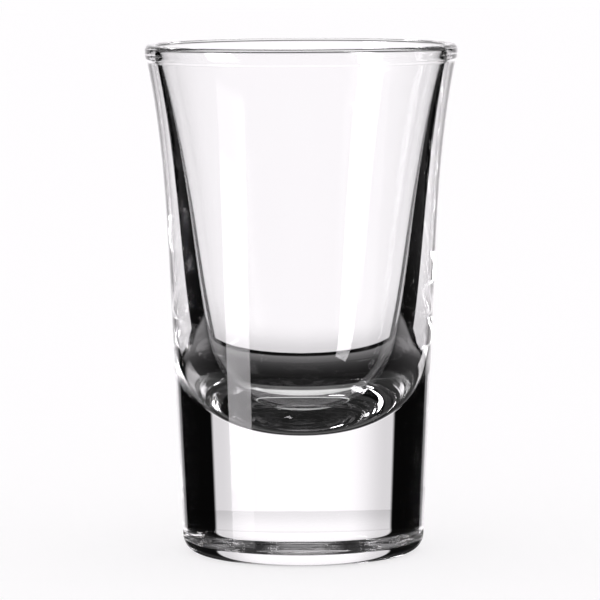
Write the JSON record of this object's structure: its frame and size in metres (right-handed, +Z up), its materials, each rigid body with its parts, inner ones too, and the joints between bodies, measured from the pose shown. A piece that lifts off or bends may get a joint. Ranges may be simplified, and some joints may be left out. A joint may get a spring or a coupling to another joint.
{
  "type": "liqueur glass",
  "caption": "Small clear stemless liqueur glass with a heavy solid base, a bowl with a dished floor and a flared wall with a small bead at the rim.",
  "frame": {"origin": "centre of the base, on the surface that the glass stands on", "axes": "+Z up along the axis of the glass, from the base to the rim"},
  "size_m": [0.0502, 0.0502, 0.0821],
  "materials": {
    "clear_glass": "clear, fire-polished"
  },
  "bodies": {
    "root": {"glass": "clear_glass"}
  },
  "joints": []
}
